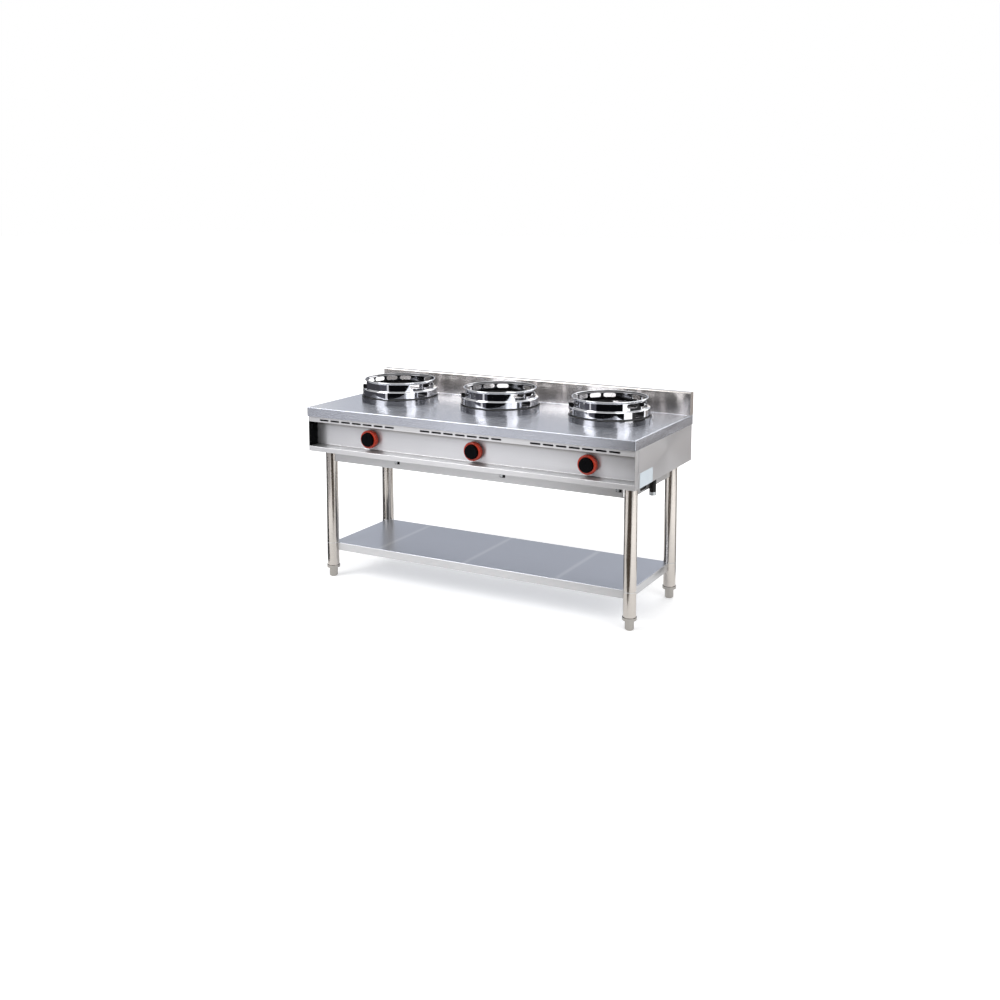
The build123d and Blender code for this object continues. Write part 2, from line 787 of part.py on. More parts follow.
with BuildPart() as foot_inserts:
    with BuildSketch(Plane.XY.offset(insert_low_z)):
        with Locations(*corners.values()):
            Circle(insert_flange_r)
    extrude(amount=insert_flange_h)
    fillet(foot_inserts.edges().filter_by(GeomType.CIRCLE).group_by(Axis.Z)[0], 2)
    with BuildSketch(Plane.XY.offset(leg_low_z)):
        with Locations(*corners.values()):
            Circle(leg_r - leg_wall - insert_fit)
    extrude(amount=insert_plug_h)
    with BuildSketch(Plane.XY.offset(insert_low_z)):
        with Locations(*corners.values()):
            Circle(stem_r + run_fit)
    extrude(amount=insert_flange_h + insert_plug_h, mode=Mode.SUBTRACT)
save(foot_inserts, "foot_inserts")

for name, place in corners.items():
    with BuildPart() as foot:
        with BuildSketch(Plane.XY):
            with Locations(place):
                Circle(foot_r)
        extrude(amount=insert_low_z)
        chamfer(foot.edges().sort_by(Axis.Z)[0], foot_chamfer)
        with BuildSketch(Plane.XY.offset(insert_low_z)):
            with Locations(place):
                Circle(stem_r)
        extrude(amount=insert_flange_h + insert_plug_h - stem_top_gap)
    save(foot, f"levelling_foot_{name}")

# ---------------------------------------------------------------- undershelf
with BuildPart() as undershelf:
    with BuildSketch(Plane.XY.offset(shelf_top - shelf_edge)):
        Rectangle(2 * leg_x, 2 * leg_y)
    extrude(amount=shelf_edge)
    fillet(undershelf.faces().sort_by(Axis.Z)[-1].edges(), shelf_bend)
    offset(amount=-shelf_t, openings=undershelf.faces().sort_by(Axis.Z)[0])
    with BuildSketch(Plane.XY.offset(shelf_top)):
        with Locations(*corners.values()):
            Circle(leg_r + rail_gap)
    extrude(amount=-shelf_edge, mode=Mode.SUBTRACT)
save(undershelf, "undershelf")

with BuildPart() as shelf_stiffener:
    top = shelf_top - shelf_t
    half = stiffener_w / 2
    with BuildSketch(Plane.YZ.offset(-leg_x + leg_r + 20)):
        points = [
            (-half - stiffener_flange, top), (-half, top), (-half, top - stiffener_h),
            (half, top - stiffener_h), (half, top), (half + stiffener_flange, top),
        ]
        make_face(fold(points, shelf_t, Side.RIGHT))
    extrude(amount=2 * (leg_x - leg_r - 20))
save(shelf_stiffener, "shelf_stiffener")
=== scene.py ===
# %% [markdown]
# # A wok range in brushed and polished steel
# The range is already built as solid pieces at their real size. This lesson gives those pieces
# their finishes, remakes the polished rings with finer curves, adds the small fittings that a
# workshop would add last, and lights everything like a catalogue picture.

# %% The fixed frame
import json
from math import cos, pi, radians, sin

import bmesh
import bpy
from mathutils import Matrix, Vector


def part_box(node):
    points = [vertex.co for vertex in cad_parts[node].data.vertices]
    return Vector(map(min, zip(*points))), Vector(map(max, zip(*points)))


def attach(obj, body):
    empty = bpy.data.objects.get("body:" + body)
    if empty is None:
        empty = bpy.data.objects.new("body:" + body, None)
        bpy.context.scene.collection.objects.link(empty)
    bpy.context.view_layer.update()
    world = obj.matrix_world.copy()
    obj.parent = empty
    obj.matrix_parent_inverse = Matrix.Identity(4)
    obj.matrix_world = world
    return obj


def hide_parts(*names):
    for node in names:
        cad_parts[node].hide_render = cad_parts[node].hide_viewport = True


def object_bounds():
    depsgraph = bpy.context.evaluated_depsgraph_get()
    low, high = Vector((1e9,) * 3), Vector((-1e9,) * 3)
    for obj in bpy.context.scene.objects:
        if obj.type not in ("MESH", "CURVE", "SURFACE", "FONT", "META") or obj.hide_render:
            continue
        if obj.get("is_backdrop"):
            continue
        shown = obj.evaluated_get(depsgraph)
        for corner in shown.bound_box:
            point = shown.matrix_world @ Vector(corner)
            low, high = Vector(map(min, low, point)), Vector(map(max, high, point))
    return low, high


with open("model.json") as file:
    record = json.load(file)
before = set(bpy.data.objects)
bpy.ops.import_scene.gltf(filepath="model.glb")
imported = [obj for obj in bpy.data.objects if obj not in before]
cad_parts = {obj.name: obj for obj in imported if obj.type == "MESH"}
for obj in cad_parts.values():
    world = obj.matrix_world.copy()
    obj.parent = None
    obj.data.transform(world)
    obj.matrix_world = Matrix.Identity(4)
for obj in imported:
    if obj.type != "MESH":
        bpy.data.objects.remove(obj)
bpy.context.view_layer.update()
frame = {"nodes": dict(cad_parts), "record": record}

MM = 0.001
SIDES = ("left", "centre", "right")
nodes = frame["nodes"]
body_of_node = {n: b for b, group in frame["record"]["behaviour"]["bodies"].items() for n in group}
slot_of_node = {p["node"]: p["material_slot"] for p in frame["record"]["subparts"]}

# %% [markdown]
# ## The camera
# A catalogue photographer keeps the legs of a tall product nearly upright by aiming only a
# little down and shifting the lens. The shift here is a sixth of the frame. A larger one would
# make the legs exactly upright and push the range out of every other view.

# %% Camera
FOCAL_IN_FRAME_WIDTHS = 1.19968
CAMERA_PLACE = (2.3822, -4.3278, 1.6384)
CAMERA_YAW = 28.668
CAMERA_TILT = 6.772
CAMERA_SHIFT = -0.16

camera_data = bpy.data.cameras.new("camera")
camera_data.sensor_width = 36
camera_data.lens = FOCAL_IN_FRAME_WIDTHS * camera_data.sensor_width
camera_data.shift_y = CAMERA_SHIFT
camera = bpy.data.objects.new("camera", camera_data)
camera.location = CAMERA_PLACE
camera.rotation_euler = (radians(90 - CAMERA_TILT), 0, radians(CAMERA_YAW))
bpy.context.collection.objects.link(camera)
bpy.context.scene.camera = camera
bpy.context.scene.view_settings.view_transform = "Standard"
print("lens", round(camera_data.lens, 1), "mm")

# %% [markdown]
# ## Helpers for shader nodes
# Every material is a small graph, so two short helpers keep the lines readable: one adds a node
# and fills its sockets, the other opens a node group with named inputs and outputs.


# %% Node helpers
def add_node(tree, kind, inputs=None, **settings):
    """A new node, with settings on the node and values or links on its inputs."""
    node = tree.nodes.new(kind)
    for key, value in settings.items():
        setattr(node, key, value)
    for key, value in (inputs or {}).items():
        if isinstance(value, bpy.types.NodeSocket):
            tree.links.new(value, node.inputs[key])
        else:
            node.inputs[key].default_value = value
    return node


def open_group(name, inputs, outputs):
    """A node group, its input node and its output node."""
    group = bpy.data.node_groups.new(name, "ShaderNodeTree")
    for socket, (kind, value) in inputs.items():
        made = group.interface.new_socket(name=socket, in_out="INPUT", socket_type=kind)
        made.default_value = value
    for socket, kind in outputs.items():
        group.interface.new_socket(name=socket, in_out="OUTPUT", socket_type=kind)
    return group, group.nodes.new("NodeGroupInput"), group.nodes.new("NodeGroupOutput")


def shade_between(tree, amount, colour, factor):
    """A colour darkened by a share of itself where amount is high."""
    dark = add_node(tree, "ShaderNodeMix", {"Factor": factor, 6: colour, 7: (0, 0, 0, 1)},
                    data_type="RGBA")
    mix = add_node(tree, "ShaderNodeMix", {"Factor": amount, 6: colour, 7: dark.outputs[2]},
                   data_type="RGBA")
    return mix.outputs[2]


FLOAT, COLOUR, VECTOR = "NodeSocketFloat", "NodeSocketColor", "NodeSocketVector"

# %% [markdown]
# ## Brushed grain
# A belt leaves scratches that are long one way and hair-fine the other. Noise stretched along
# the belt's way gives them. One group makes the scratches, some cloudiness from handling, and
# the bump, and each steel uses it with its own values.


# %% Brushed grain group
def make_grain_group():
    """Scratches along one axis, with soft clouds over them."""
    group, given, out = open_group(
        "brushed_grain",
        {"Colour": (COLOUR, (0.6, 0.6, 0.6, 1)), "Stretch": (VECTOR, (6, 700, 700)),
         "Variation": (FLOAT, 0.15), "Roughness": (FLOAT, 0.28), "Spread": (FLOAT, 0.1),
         "Clouds": (FLOAT, 0.1), "Depth": (FLOAT, 0.1)},
        {"Colour": COLOUR, "Roughness": FLOAT, "Normal": VECTOR})
    place = add_node(group, "ShaderNodeTexCoord").outputs["Object"]
    stretched = add_node(group, "ShaderNodeVectorMath", {0: place, 1: given.outputs["Stretch"]},
                         operation="MULTIPLY").outputs[0]
    scratch = add_node(group, "ShaderNodeTexNoise",
                       {"Vector": stretched, "Scale": 1.0, "Detail": 3.0}).outputs["Fac"]
    cloud = add_node(group, "ShaderNodeTexNoise",
                     {"Vector": place, "Scale": 7.0, "Detail": 4.0}).outputs["Fac"]
    shade = shade_between(group, scratch, given.outputs["Colour"], given.outputs["Variation"])
    shade = shade_between(group, cloud, shade, given.outputs["Clouds"])
    centred = add_node(group, "ShaderNodeMath", {0: scratch, 1: 0.5}, operation="SUBTRACT")
    rough = add_node(group, "ShaderNodeMath",
                     {0: centred.outputs[0], 1: given.outputs["Spread"],
                      2: given.outputs["Roughness"]}, operation="MULTIPLY_ADD")
    soft = add_node(group, "ShaderNodeMath",
                    {0: cloud, 1: given.outputs["Clouds"], 2: rough.outputs[0]},
                    operation="MULTIPLY_ADD", use_clamp=True)
    bump = add_node(group, "ShaderNodeBump",
                    {"Strength": given.outputs["Depth"], "Distance": 0.0004, "Height": scratch})
    group.links.new(shade, out.inputs["Colour"])
    group.links.new(soft.outputs[0], out.inputs["Roughness"])
    group.links.new(bump.outputs[0], out.inputs["Normal"])
    return group


brushed_grain = make_grain_group()

# %% [markdown]
# ## Sand and moulding grain
# Castings carry the grain of the sand, moulded plastic carries a much finer one, and lacquer
# has a slight waviness. All three are the same idea at different scales.


# %% Cast grain group
def make_cast_group():
    """Even grain with a second colour in its hollows."""
    group, given, out = open_group(
        "cast_grain",
        {"Colour": (COLOUR, (0.1, 0.1, 0.1, 1)), "Hollows": (COLOUR, (0.05, 0.05, 0.05, 1)),
         "Scale": (FLOAT, 600.0), "Roughness": (FLOAT, 0.6), "Spread": (FLOAT, 0.15),
         "Depth": (FLOAT, 0.3)},
        {"Colour": COLOUR, "Roughness": FLOAT, "Normal": VECTOR})
    place = add_node(group, "ShaderNodeTexCoord").outputs["Object"]
    grain = add_node(group, "ShaderNodeTexNoise",
                     {"Vector": place, "Scale": given.outputs["Scale"],
                      "Detail": 4.0}).outputs["Fac"]
    patch = add_node(group, "ShaderNodeTexNoise",
                     {"Vector": place, "Scale": 25.0, "Detail": 5.0}).outputs["Fac"]
    mix = add_node(group, "ShaderNodeMix",
                   {"Factor": patch, 6: given.outputs["Colour"], 7: given.outputs["Hollows"]},
                   data_type="RGBA")
    rough = add_node(group, "ShaderNodeMath",
                     {0: patch, 1: given.outputs["Spread"], 2: given.outputs["Roughness"]},
                     operation="MULTIPLY_ADD", use_clamp=True)
    bump = add_node(group, "ShaderNodeBump",
                    {"Strength": given.outputs["Depth"], "Distance": 0.0005, "Height": grain})
    group.links.new(mix.outputs[2], out.inputs["Colour"])
    group.links.new(rough.outputs[0], out.inputs["Roughness"])
    group.links.new(bump.outputs[0], out.inputs["Normal"])
    return group


cast_grain = make_cast_group()


# %% [markdown]
# ## The materials
# Brushed sheet spreads its reflections across the grain, so a ring standing on the worktop
# draws a tall soft streak there. That is anisotropy, and its direction comes from a Tangent
# node about the X axis, because every sheet here is brushed along the front.


# %% Material makers
def open_material(name):
    """An empty material with a Principled shader on its output."""
    material = bpy.data.materials.new(name)
    material.use_nodes = True
    tree = material.node_tree
    tree.nodes.clear()
    shader = tree.nodes.new("ShaderNodeBsdfPrincipled")
    output = tree.nodes.new("ShaderNodeOutputMaterial")
    tree.links.new(shader.outputs[0], output.inputs[0])
    return material, tree, shader


def grained(name, group, values, metallic=1.0, stretch_axis=None, anisotropy=0.0, coat=0.0,
            shine=0.5):
    """A material whose colour, roughness and bump come from a grain group."""
    material, tree, shader = open_material(name)
    grain = add_node(tree, "ShaderNodeGroup", node_tree=group)
    for key, value in values.items():
        grain.inputs[key].default_value = value
    tree.links.new(grain.outputs["Colour"], shader.inputs["Base Color"])
    tree.links.new(grain.outputs["Roughness"], shader.inputs["Roughness"])
    tree.links.new(grain.outputs["Normal"], shader.inputs["Normal"])
    shader.inputs["Metallic"].default_value = metallic
    shader.inputs["Specular IOR Level"].default_value = shine
    shader.inputs["Coat Weight"].default_value = coat
    shader.inputs["Coat Roughness"].default_value = 0.08
    if stretch_axis:
        shader.inputs["Anisotropic"].default_value = anisotropy
        tangent = add_node(tree, "ShaderNodeTangent", direction_type="RADIAL", axis=stretch_axis)
        tree.links.new(tangent.outputs[0], shader.inputs["Tangent"])
    return material


def steel(name, colour, rough, grain=(5, 600, 600), variation=0.18, clouds=0.06, depth=0.12,
          spread=0.12, anisotropy=0.7, axis="X", metallic=1.0):
    """Brushed steel: grain is in scratches per metre along X, Y and Z."""
    return grained(name, brushed_grain,
                   {"Colour": (*colour, 1), "Stretch": grain, "Variation": variation,
                    "Roughness": rough, "Spread": spread, "Clouds": clouds, "Depth": depth},
                   metallic=metallic, stretch_axis=axis, anisotropy=anisotropy)


def cast(name, colour, hollows, scale, rough, depth, metallic=0.0, coat=0.0, spread=0.15,
         shine=0.5):
    """Cast, moulded or lacquered stuff with an even grain."""
    return grained(name, cast_grain,
                   {"Colour": (*colour, 1), "Hollows": (*hollows, 1), "Scale": scale,
                    "Roughness": rough, "Spread": spread, "Depth": depth},
                   metallic=metallic, coat=coat, shine=shine)


# %% Materials
EVEN = (90, 90, 90)
PANEL_GRAIN = dict(variation=0.06, clouds=0.03, spread=0.05, depth=0.05, metallic=0.75)
finishes = {
    "worktop_steel": steel("worktop_steel", (0.56, 0.58, 0.64), 0.25, variation=0.06,
                           clouds=0.03, spread=0.05, depth=0.05, anisotropy=0.8, metallic=0.92),
    "splash_steel": steel("splash_steel", (0.80, 0.76, 0.73), 0.14, variation=0.08, clouds=0.04,
                          spread=0.05, depth=0.06, anisotropy=0.85, metallic=0.95),
    "panel_steel": steel("panel_steel", (0.70, 0.695, 0.71), 0.32, **PANEL_GRAIN),
    "collar_steel": steel("collar_steel", (0.52, 0.52, 0.54), 0.06, EVEN, 0.06, 0.04, 0.02,
                          0.03, 0.0, None),
    "polished_steel": steel("polished_steel", (0.74, 0.745, 0.77), 0.03, EVEN, 0.05, 0.03,
                            0.015, 0.02, 0.0, None),
    # painted shade: a darker mirror for the inner side of the rings' upper bands
    "ring_inside": steel("ring_inside", (0.22, 0.22, 0.23), 0.05, EVEN, 0.10, 0.06, 0.02, 0.03,
                         0.0, None),
    # painted shade: the bowl finish is nearly black for the shade deep inside the rings
    "bowl_steel": steel("bowl_steel", (0.030, 0.029, 0.029), 0.38, EVEN, 0.35, 0.2, 0.1, 0.1,
                        0.0, None),
    # painted shade: near black for the inside of the hollow body
    "dark_hollow": steel("dark_hollow", (0.020, 0.020, 0.021), 0.45, EVEN, 0.2, 0.1, 0.05, 0.1,
                         0.0, None),
    "zinc_steel": steel("zinc_steel", (0.62, 0.64, 0.66), 0.30, EVEN, 0.15, 0.1, 0.05, 0.1,
                        0.0, None),
    "stand_steel": steel("stand_steel", (0.60, 0.60, 0.61), 0.30, variation=0.08, clouds=0.04,
                         metallic=0.75),
    "leg_steel": steel("leg_steel", (0.54, 0.505, 0.47), 0.15, (40, 40, 500), 0.10, 0.05, 0.03,
                       0.04, 0.0, None),
    "foot_steel": steel("foot_steel", (0.42, 0.40, 0.375), 0.13, (60, 60, 900), 0.20, 0.10,
                        0.12, 0.06, 0.0, None),
    "shelf_steel": steel("shelf_steel", (0.46, 0.485, 0.545), 0.28, variation=0.05, clouds=0.03,
                         spread=0.04, depth=0.04, metallic=0.9),
    "brass": steel("brass", (0.72, 0.53, 0.24), 0.28, (700, 20, 700), 0.15, 0.08, 0.08, 0.1,
                   0.0, None),
    "cast_iron": cast("cast_iron", (0.030, 0.029, 0.028), (0.045, 0.034, 0.028), 500, 0.62, 0.6,
                      metallic=0.4, shine=0.3),
    "knob_red": cast("knob_red", (0.56, 0.050, 0.020), (0.50, 0.038, 0.016), 900, 0.22, 0.05,
                     coat=0.4, shine=0.3),
    "knob_black": cast("knob_black", (0.0025, 0.0025, 0.003), (0.004, 0.004, 0.005), 1600, 0.26,
                       0.12, shine=0.04),
    "black_pipe": cast("black_pipe", (0.006, 0.006, 0.007), (0.010, 0.009, 0.009), 250, 0.30,
                       0.10, coat=0.08, shine=0.15),
    "black_mirror": cast("black_mirror", (0.003, 0.003, 0.004), (0.004, 0.004, 0.005), 300, 0.12,
                         0.01, shine=0.06),
}


def open_colour(material, axis):
    """A material's tree, its colour input, what feeds that, and the place along an axis."""
    tree = material.node_tree
    shader = next(n for n in tree.nodes if n.bl_idname == "ShaderNodeBsdfPrincipled")
    colour = shader.inputs["Base Color"]
    place = add_node(tree, "ShaderNodeTexCoord").outputs["Object"]
    along = add_node(tree, "ShaderNodeSeparateXYZ", {0: place}).outputs[axis]
    return tree, colour, colour.links[0].from_socket, along


def add_painted_shade(material, axis, clear, full, shade_colour):
    """Paints shade onto a material along an axis, from none at clear to the whole shade colour at
    full.
    """
    tree, colour, base, along = open_colour(material, axis)
    amount = add_node(tree, "ShaderNodeMapRange", {"Value": along, "From Min": clear,
                                                   "From Max": full},
                      interpolation_type="SMOOTHSTEP").outputs[0]
    shaded = add_node(tree, "ShaderNodeMix", {"Factor": 1.0, 6: base, 7: (*shade_colour, 1)},
                      data_type="RGBA", blend_type="MULTIPLY").outputs[2]
    mixed = add_node(tree, "ShaderNodeMix", {"Factor": amount, 6: base, 7: shaded},
                     data_type="RGBA").outputs[2]
    tree.links.new(mixed, colour)


def add_weld_marks(material, first, pitch, half, strength):
    """Pale soft bands across a shelf, where the ribs under it were spot welded."""
    tree, colour, base, along = open_colour(material, "X")
    shifted = add_node(tree, "ShaderNodeMath", {0: along, 1: first}, operation="SUBTRACT")
    apart = add_node(tree, "ShaderNodeMath", {0: shifted.outputs[0], 1: pitch / 2},
                     operation="PINGPONG").outputs[0]
    amount = add_node(tree, "ShaderNodeMapRange", {"Value": apart, "From Min": half,
                                                   "From Max": 0.0, "To Max": strength},
                      interpolation_type="SMOOTHSTEP").outputs[0]
    mixed = add_node(tree, "ShaderNodeMix", {"Factor": amount, 6: base, 7: (1, 1, 1, 1)},
                     data_type="RGBA").outputs[2]
    tree.links.new(mixed, colour)


# %% [markdown]
# The control panel gets painted shade just under the vent band, and the sill in front of it is a
# darker steel with painted shade deepening towards the panel. The undershelf shows where its ribs
# are.

# %% Steels with painted shade
# Painted shade colours: the first is for under the vent band, the second for the sill of the
# recess.
PANEL_SHADE_COLOUR, SILL_SHADE_COLOUR = (0.36, 0.33, 0.30), (0.50, 0.49, 0.48)
FIRST_MARK, MARK_PITCH, MARK_HALF, MARK_STRENGTH = -0.46, 0.42, 0.018, 0.20
finishes["recess_steel"] = steel("recess_steel", (0.74, 0.74, 0.765), 0.32, **PANEL_GRAIN)
# Painted shade on the top of the panel, under the vent band that overhangs it.
add_painted_shade(finishes["recess_steel"], "Z", 0.664, 0.684, PANEL_SHADE_COLOUR)
# Painted shade: the sill is a darker copy of the panel steel for the shade in the recess, darker
# still towards the panel.
finishes["shaded_sill_steel"] = steel("shaded_sill_steel", (0.50, 0.50, 0.51), 0.30, **PANEL_GRAIN)
add_painted_shade(finishes["shaded_sill_steel"], "Y", -0.300, -0.250, SILL_SHADE_COLOUR)
add_weld_marks(finishes["shelf_steel"], FIRST_MARK, MARK_PITCH, MARK_HALF, MARK_STRENGTH)


def dress(piece, slot):
    """Gives every face of a piece the finish of a slot."""
    piece.data.materials.clear()
    piece.data.materials.append(finishes[slot])


for name, piece in nodes.items():
    dress(piece, slot_of_node[name])
# Painted shade: the tie plates inside the body are made near black.
dress(nodes["tie_plates"], "dark_hollow")
print("finishes:", len(finishes))


# %% [markdown]
# ## Making pieces
# A new piece is shaped in a bmesh, at its real place, and then rides on the body that carries
# it. Edges that turn sharply stay crisp and the rest are shaded as one smooth curve.


# %% Piece helpers
def soften(bm, limit=32):
    """Smooth shading, except over edges that turn by more than limit degrees."""
    for face in bm.faces:
        face.smooth = True
    for edge in bm.edges:
        edge.smooth = len(edge.link_faces) == 2 and edge.calc_face_angle(0) < radians(limit)


def new_object(name, bm):
    """Turns a bmesh into an object in the scene."""
    mesh = bpy.data.meshes.new(name)
    bm.to_mesh(mesh)
    bm.free()
    made = bpy.data.objects.new(name, mesh)
    bpy.context.collection.objects.link(made)
    return made


def make_piece(name, bm, slot, body, stands_for=()):
    """Turns a bmesh into a piece that rides on a body and wears a finish."""
    soften(bm)
    piece = new_object(name, bm)
    dress(piece, slot)
    even = piece.modifiers.new("flats_stay_flat", "WEIGHTED_NORMAL")
    even.keep_sharp = True
    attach(piece, body)
    if stands_for:
        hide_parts(*stands_for)
    return piece


def merged_copy(node):
    """A bmesh of a solid piece with its loose triangles joined at their corners."""
    bm = bmesh.new()
    bm.from_mesh(nodes[node].data)
    bmesh.ops.remove_doubles(bm, verts=bm.verts, dist=0.00001)
    return bm


def block(bm, size, place, turn=0.0, bevel=0.0, segments=2, edges=None):
    """A box with bevelled edges, turned about its upright axis and put in place."""
    made = bmesh.ops.create_cube(bm, size=1)["verts"]
    bmesh.ops.scale(bm, vec=size, verts=made)
    if bevel:
        lines = {e for v in made for e in v.link_edges if edges is None or edges(e)}
        rounded = bmesh.ops.bevel(bm, geom=list(lines), offset=bevel, segments=segments,
                                  profile=0.5, affect="EDGES", material=-1)["faces"]
        made = list({v for f in rounded for v in f.verts} | {v for v in made if v.is_valid})
    bmesh.ops.rotate(bm, verts=made, cent=(0, 0, 0), matrix=Matrix.Rotation(turn, 3, "Z"))
    bmesh.ops.translate(bm, verts=made, vec=place)
    return made


def along_x(edge):
    """True for a box's edges that run left to right."""
    run = edge.verts[0].co - edge.verts[1].co
    return abs(run.x) > max(abs(run.y), abs(run.z))


def along_y(edge):
    """True for a box's edges that run front to back."""
    run = edge.verts[0].co - edge.verts[1].co
    return abs(run.y) > max(abs(run.x), abs(run.z))


def lathe(bm, outline, centre, steps):
    """Spins a closed outline of (radius, height) points round an upright axis."""
    verts = [bm.verts.new((centre[0] + r, centre[1], z)) for r, z in outline]
    lines = [bm.edges.new((a, b)) for a, b in zip(verts, verts[1:] + verts[:1])]
    bmesh.ops.spin(bm, geom=verts + lines, cent=(centre[0], centre[1], 0), axis=(0, 0, 1),
                   angle=2 * pi, steps=steps, use_merge=True, use_duplicate=False)
    bmesh.ops.remove_doubles(bm, verts=bm.verts, dist=0.00001)
    bmesh.ops.recalc_face_normals(bm, faces=bm.faces)


# %% [markdown]
# ## Smooth curves on turned and bent pieces
# The solid pieces come as flat triangles, which show as facets on a shiny tube. A merged copy
# with smooth shading hides them, and leaves each outline where it was.

# %% Smooth copies
TURNED = ("leg_", "levelling_foot_", "foot_inserts", "collar_", "drip_bowl_", "burner_head_",
          "burner_base_", "knob_", "tap_spindle_", "thrust_washer_", "gas_", "feed_tubes",
          "inlet_union", "pilot_burners", "worktop", "splashback", "undershelf", "front_fascia",
          "front_rail", "rear_rail", "side_rails", "base_pan", "back_panel", "side_panel_",
          "end_cheeks")
for name in sorted(nodes):
    if name.startswith(TURNED):
        make_piece(f"{name}_finished", merged_copy(name), slot_of_node[name],
                   body_of_node[name], (name,))

# %% [markdown]
# The vent slots look into the hollow body, whose inner side gets near-black painted shade, and the
# end plates of the control recess are black on the side that faces the knobs. Both are second
# finishes on some faces of a smooth copy, picked by the way each face turns.


# %% Second finishes
def other_finish(node, finish, turned):
    """Gives the faces of a node's smooth copy that pass a test another finish."""
    mesh = bpy.data.objects[f"{node}_finished"].data
    mesh.materials.append(finishes[finish])
    for face in mesh.polygons:
        if turned(face.normal, face.center):
            face.material_index = len(mesh.materials) - 1


FASCIA_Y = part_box("front_fascia")[0].y
FASCIA_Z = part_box("front_fascia")[1].z
RECESS_TOP, RECESS_FLOOR = FASCIA_Z - 61.5 * MM, FASCIA_Z - 166.5 * MM
SLOT_Z, SLOT_HALF = FASCIA_Z - 50.5 * MM, 4 * MM
PANEL_Y = FASCIA_Y + 60 * MM
COLLAR_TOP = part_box("collar_centre")[1].z
COLLAR_SHADE_BAND = 2.2 * MM
other_finish("front_fascia", "recess_steel",
             lambda n, c: n.y < -0.5 and abs(c.y - PANEL_Y) < MM)
other_finish("front_fascia", "shaded_sill_steel",
             lambda n, c: n.z > 0.5 and abs(c.z - RECESS_FLOOR) < 2 * MM)
# Painted shade: faces inside the body and the walls of the vent slots are made near black.
other_finish("front_fascia", "dark_hollow",
             lambda n, c: n.y > 0.5 or (n.z > 0.5 and abs(c.z - RECESS_TOP) < 2 * MM)
             or (abs(n.y) < 0.5 and abs(c.z - SLOT_Z) < SLOT_HALF and c.y < FASCIA_Y + 2 * MM))
# Painted shade on the inner faces of the base pan, the back panel and the side panels.
other_finish("base_pan", "dark_hollow", lambda n, c: n.z > 0.5)
other_finish("back_panel", "dark_hollow", lambda n, c: n.y < -0.5)
for side, way in (("left", 1), ("right", -1)):
    other_finish(f"side_panel_{side}", "dark_hollow", lambda n, c: n.x * way > 0.5)
other_finish("end_cheeks", "black_mirror", lambda n, c: n.x * c.x < -0.3)
other_finish("undershelf", "stand_steel", lambda n, c: abs(n.z) < 0.5)
# Painted shade: a near-black band round each collar's top stands for the shaded crease where the
# ring sits.
for side in SIDES:
    other_finish(f"collar_{side}", "black_pipe", lambda n, c: c.z > COLLAR_TOP - COLLAR_SHADE_BAND)

# %% [markdown]
# ## The wok rings
# Each ring is two rolled bands joined by a shoulder, with a wire rolled into the rim. The
# outline of the sheet is spun round the burner's axis, and the flue slots are then cut through
# it, as a press would. Spinning gives mirror-smooth walls, and the cutters keep the slots crisp.

# %% Ring outline
ring_low, ring_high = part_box("wok_ring_centre")
RING_CENTRE_Y = (ring_low.y + ring_high.y) / 2
LOW_R = (ring_high.x - ring_low.x) / 2
SHEET = 2.0 * MM
FOOT_H = 5.0 * MM
BEAD_R = 2.6 * MM
MID_R = 147.0 * MM
RIM_R = 151.0 * MM
WORKTOP_Z = 755.0 * MM
STEP_Z = WORKTOP_Z + 57 * MM
FLARE_Z = WORKTOP_Z + 88 * MM
RIM_Z = ring_high.z - BEAD_R
BEND = 2.5 * MM
BEND_EDGE = 0.4 * MM
RING_STEPS = 180


def rounded_corner(before, corner, after, radius, steps=4):
    """Points of the round that replaces a corner, with a narrow flat on each side of it."""
    a, b = (before - corner).normalized(), (after - corner).normalized()
    half = a.angle(b) / 2
    centre = corner + (a + b).normalized() * (radius / sin(half))
    reach = radius * cos(half) / sin(half)
    start, end = corner + a * reach, corner + b * reach
    arms = ((start - centre).normalized(), (end - centre).normalized())
    arc = [centre + radius * arms[0].slerp(arms[1], k / steps) for k in range(steps + 1)]
    return [start + a * BEND_EDGE, *arc, end + b * BEND_EDGE]


def bent_line(points, radius):
    """A line of points with its inner corners rounded."""
    line = [points[0]]
    for before, corner, after in zip(points, points[1:], points[2:]):
        line += rounded_corner(before, corner, after, radius)
    return line + [points[-1]]


BAND_Z = ring_low.z + FOOT_H
outer = [Vector(p) for p in ((LOW_R, BAND_Z), (LOW_R, STEP_Z), (MID_R, STEP_Z),
                             (MID_R, FLARE_Z), (RIM_R, RIM_Z))]
inner = [Vector(p) for p in ((LOW_R - SHEET, BAND_Z), (LOW_R - SHEET, STEP_Z - SHEET),
                             (MID_R - SHEET, STEP_Z - SHEET), (MID_R - SHEET, FLARE_Z),
                             (RIM_R - SHEET, RIM_Z))]
bead = [(RIM_R + BEAD_R * cos(radians(t)), RIM_Z + BEAD_R * sin(radians(t)))
        for t in range(-45, 226, 30)]
profile = ([tuple(p) for p in bent_line(outer, BEND)[:-1]] + bead
           + [tuple(p) for p in reversed(bent_line(inner, BEND)[:-1])])
print("ring outline:", len(profile), "points")

# %% [markdown]
# The slots are cut with one joined cutter: eleven places round the upper band, less the one at
# the back, and three windows in the lower band. A Boolean modifier does the cutting.

# %% Slots and windows
OVALS = [60 + 24 * k for k in range(11) if k != 5]
OVAL_SIZE, OVAL_ROUND, OVAL_Z = (50 * MM, 40 * MM, 17 * MM), 8.4 * MM, WORKTOP_Z + 78 * MM
WINDOWS = (-50, 70, 190)
WINDOW_SIZE, WINDOW_ROUND = (50 * MM, 30 * MM, 17 * MM), 2.5 * MM
WINDOW_Z = (BAND_Z + STEP_Z - SHEET) / 2
FEET = (10, 130, 250)
FOOT_W = 24 * MM


def around(azimuth, radius, z, x):
    """A point at an azimuth from the front, turning to the right."""
    a = radians(azimuth)
    return (x + radius * sin(a), RING_CENTRE_Y - radius * cos(a), z)


